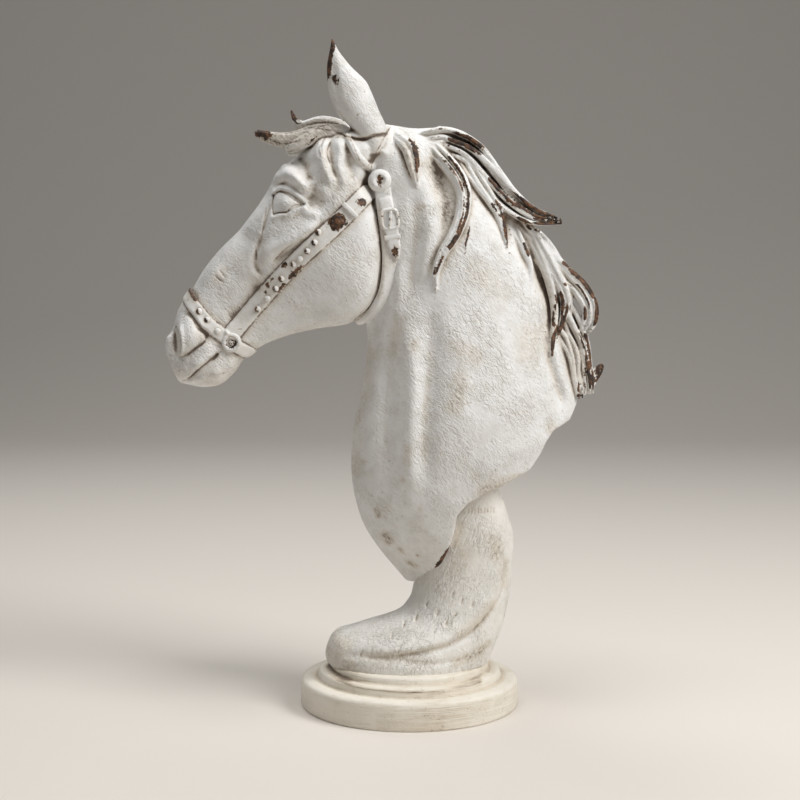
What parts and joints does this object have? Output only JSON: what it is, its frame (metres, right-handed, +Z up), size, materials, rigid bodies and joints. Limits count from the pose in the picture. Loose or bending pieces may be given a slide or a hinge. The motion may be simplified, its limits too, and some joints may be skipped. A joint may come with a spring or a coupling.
{
  "type": "horse head sculpture",
  "caption": "Cast bust of a bridled horse, its neck cut off above a curved stand that rises from a round stepped plinth; stands by its own weight.",
  "frame": {"origin": "centre of the plinth's flat underside", "axes": "+Z up through the plinth; the muzzle points toward -X and the horse's left side faces -Y"},
  "size_m": [0.2922, 0.147, 0.4429],
  "materials": {
    "cast_resin": "hand-painted off-white over cast resin, warm stain in the hollows, dark brown where it is worn through at the edges"
  },
  "bodies": {
    "root": {"horse_head_sculpture": "cast_resin"}
  },
  "joints": []
}
